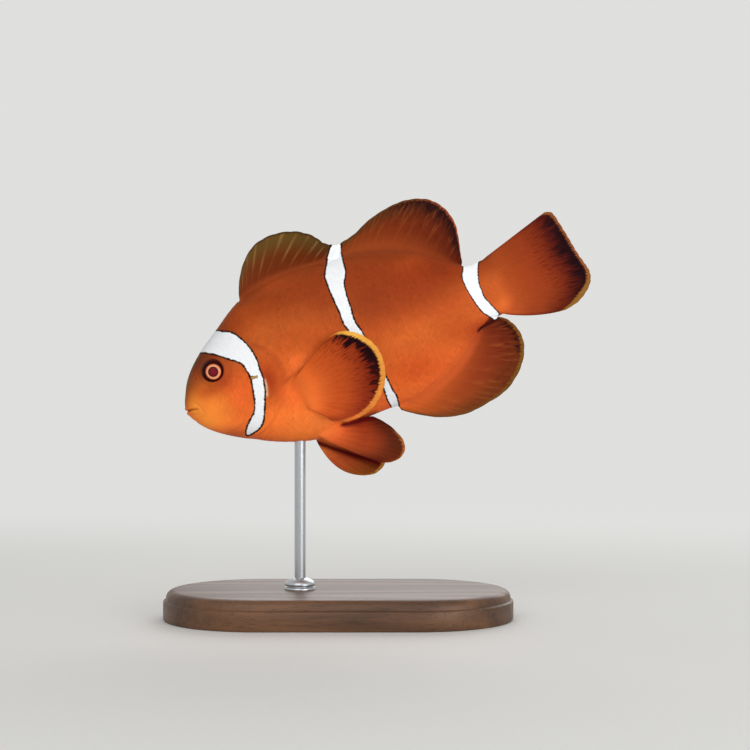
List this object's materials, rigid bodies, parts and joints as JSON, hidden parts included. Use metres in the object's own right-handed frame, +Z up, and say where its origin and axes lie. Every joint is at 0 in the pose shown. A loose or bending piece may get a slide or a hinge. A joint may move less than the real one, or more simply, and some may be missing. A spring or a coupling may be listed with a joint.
{
  "type": "clownfish model on stand",
  "caption": "Life-size orange clownfish with white bars, swimming nose down, held by a steel rod on a flat oval wooden base.",
  "frame": {"origin": "centre of the flat underside of the stand's base", "axes": "+Z up, -X towards the fish's snout, -Y out of the fish's left side"},
  "size_m": [0.1005, 0.046, 0.0986],
  "materials": {
    "head_skin": "wet, finely scaled skin, yellow-orange, with a white bar behind the eye",
    "flank_skin": "wet scaled skin, deep orange, darker on the back, with two narrow white bars",
    "dorsal_fin_skin": "thin brown membrane with paler spines",
    "fin_skin": "thin rayed membrane, rust orange, with a dark band inside a pale edge",
    "eye": "glossy, with a bright orange ring round the pupil",
    "base_wood": "dark wood, satin",
    "rod_steel": "brushed"
  },
  "bodies": {
    "root": {"head": "head_skin", "lower_jaw": "head_skin", "gill_cover_left": "head_skin", "gill_cover_right": "head_skin", "eye_left": "eye", "eye_right": "eye", "trunk": "flank_skin", "tail_stem": "flank_skin", "dorsal_fin_spiny": "dorsal_fin_skin", "dorsal_fin_soft": "fin_skin", "anal_fin": "fin_skin", "tail_fin": "fin_skin", "pectoral_fin_left": "fin_skin", "pectoral_fin_right": "fin_skin", "pelvic_fin_left": "fin_skin", "pelvic_fin_right": "fin_skin", "stand_base": "base_wood", "stand_collar": "rod_steel", "stand_rod": "rod_steel"}
  },
  "joints": []
}
